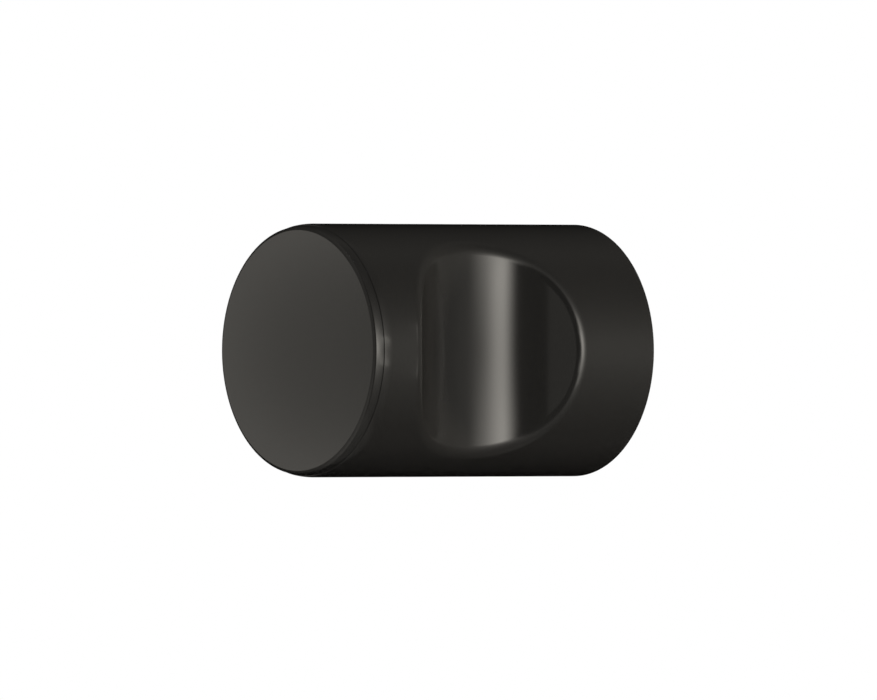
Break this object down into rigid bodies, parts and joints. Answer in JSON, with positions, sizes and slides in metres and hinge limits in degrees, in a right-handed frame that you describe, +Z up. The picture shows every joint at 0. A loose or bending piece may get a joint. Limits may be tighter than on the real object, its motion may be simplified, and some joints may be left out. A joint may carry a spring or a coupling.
{
  "type": "cabinet knob",
  "caption": "Cylindrical cabinet knob in satin black plastic, with a flat front cap, a rounded finger scoop in its side and a brass threaded insert in its back.",
  "frame": {"origin": "centre of the mounting face, at the mouth of the fixing thread", "axes": "+Y along the knob's axis out of the mounting face, towards the door; the knob stands out towards -Y; +Z up; the finger scoop opens towards +X"},
  "size_m": [0.02, 0.0282, 0.02],
  "materials": {
    "black_plastic": "satin",
    "black_cap": "satin",
    "brass": "machined"
  },
  "bodies": {
    "root": {"knob_body": "black_plastic", "front_cap": "black_cap", "threaded_insert": "brass"}
  },
  "joints": []
}
